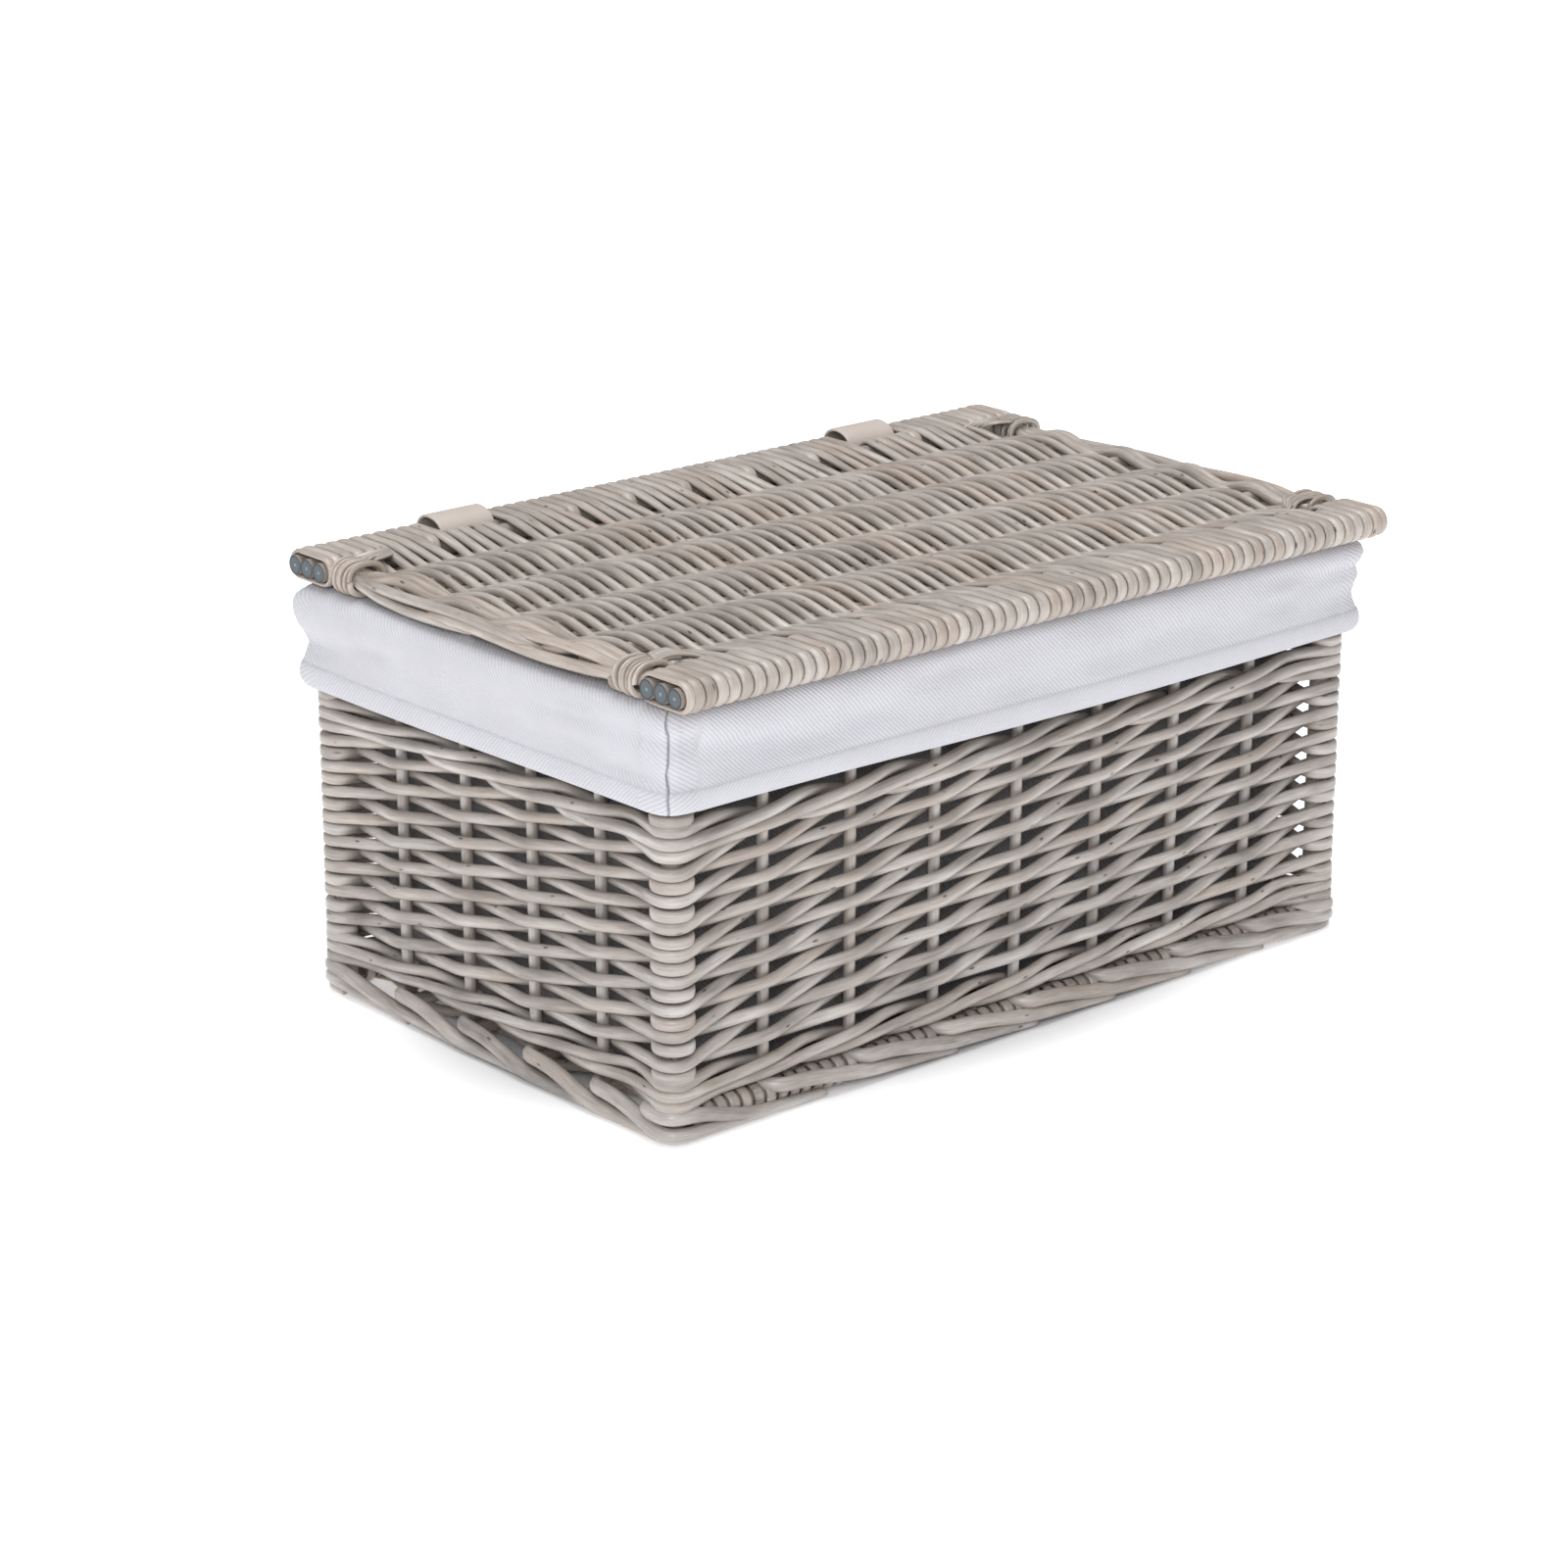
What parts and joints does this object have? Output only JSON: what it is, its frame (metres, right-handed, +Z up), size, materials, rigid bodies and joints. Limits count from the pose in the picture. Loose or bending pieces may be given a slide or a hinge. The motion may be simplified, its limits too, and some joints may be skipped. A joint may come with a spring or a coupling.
{
  "type": "sewing basket",
  "caption": "Rectangular woven willow sewing basket with a cotton liner turned over the rim and a flat woven lid on strap hinges.",
  "frame": {"origin": "under the middle of the lid, on the surface that the basket stands on", "axes": "+X along the length, -Y towards the front, +Z up"},
  "size_m": [0.3086, 0.2024, 0.1513],
  "materials": {
    "willow_stick": "grey-washed round willow, satin",
    "willow_weaver": "grey-washed round willow, satin",
    "edge_rod": "grey-washed willow, cut ends blue-grey",
    "split_willow": "thin split willow, satin",
    "cotton_twill": "white cotton twill, matte",
    "leather_strap": "smooth beige leather-like strap"
  },
  "bodies": {
    "basket": {"base_outer_sticks": "willow_stick", "base_sticks": "willow_stick", "base_weave": "willow_weaver", "corner_post_front_left": "willow_stick", "corner_post_front_right": "willow_stick", "corner_post_back_left": "willow_stick", "corner_post_back_right": "willow_stick", "corner_bands_front_left": "willow_weaver", "corner_bands_front_right": "willow_weaver", "corner_bands_back_left": "willow_weaver", "corner_bands_back_right": "willow_weaver", "stakes_front": "willow_stick", "stakes_back": "willow_stick", "stakes_left": "willow_stick", "stakes_right": "willow_stick", "weave_front": "willow_weaver", "weave_back": "willow_weaver", "weave_left": "willow_weaver", "weave_right": "willow_weaver", "foot_wale": "willow_weaver", "rim_wale": "willow_weaver", "foot_border": "willow_weaver", "rim_border": "willow_weaver", "liner_floor": "cotton_twill", "liner_wall_front": "cotton_twill", "liner_wall_back": "cotton_twill", "liner_wall_left": "cotton_twill", "liner_wall_right": "cotton_twill", "cuff_front": "cotton_twill", "cuff_back": "cotton_twill", "cuff_left": "cotton_twill", "cuff_right": "cotton_twill", "strap_rim_loop_left": "leather_strap", "strap_rim_loop_right": "leather_strap"},
    "lid": {"lid_front_rods": "edge_rod", "lid_back_rods": "edge_rod", "lid_sticks": "willow_stick", "lid_weave": "willow_weaver", "lid_front_wraps": "willow_weaver", "lid_back_wraps": "willow_weaver", "lid_plait_left": "willow_weaver", "lid_plait_right": "willow_weaver", "lid_binding_front_left": "split_willow", "lid_binding_front_right": "split_willow", "lid_binding_back_left": "split_willow", "lid_binding_back_right": "split_willow", "strap_lid_loop_left": "leather_strap", "strap_lid_loop_right": "leather_strap"}
  },
  "joints": [
    {"name": "lid_hinge", "type": "hinge", "parent": "basket", "child": "lid", "pos_m": [0, 0.09975, 0.1415], "axis": [-1, 0, 0], "range_deg": [0, 105]}
  ]
}
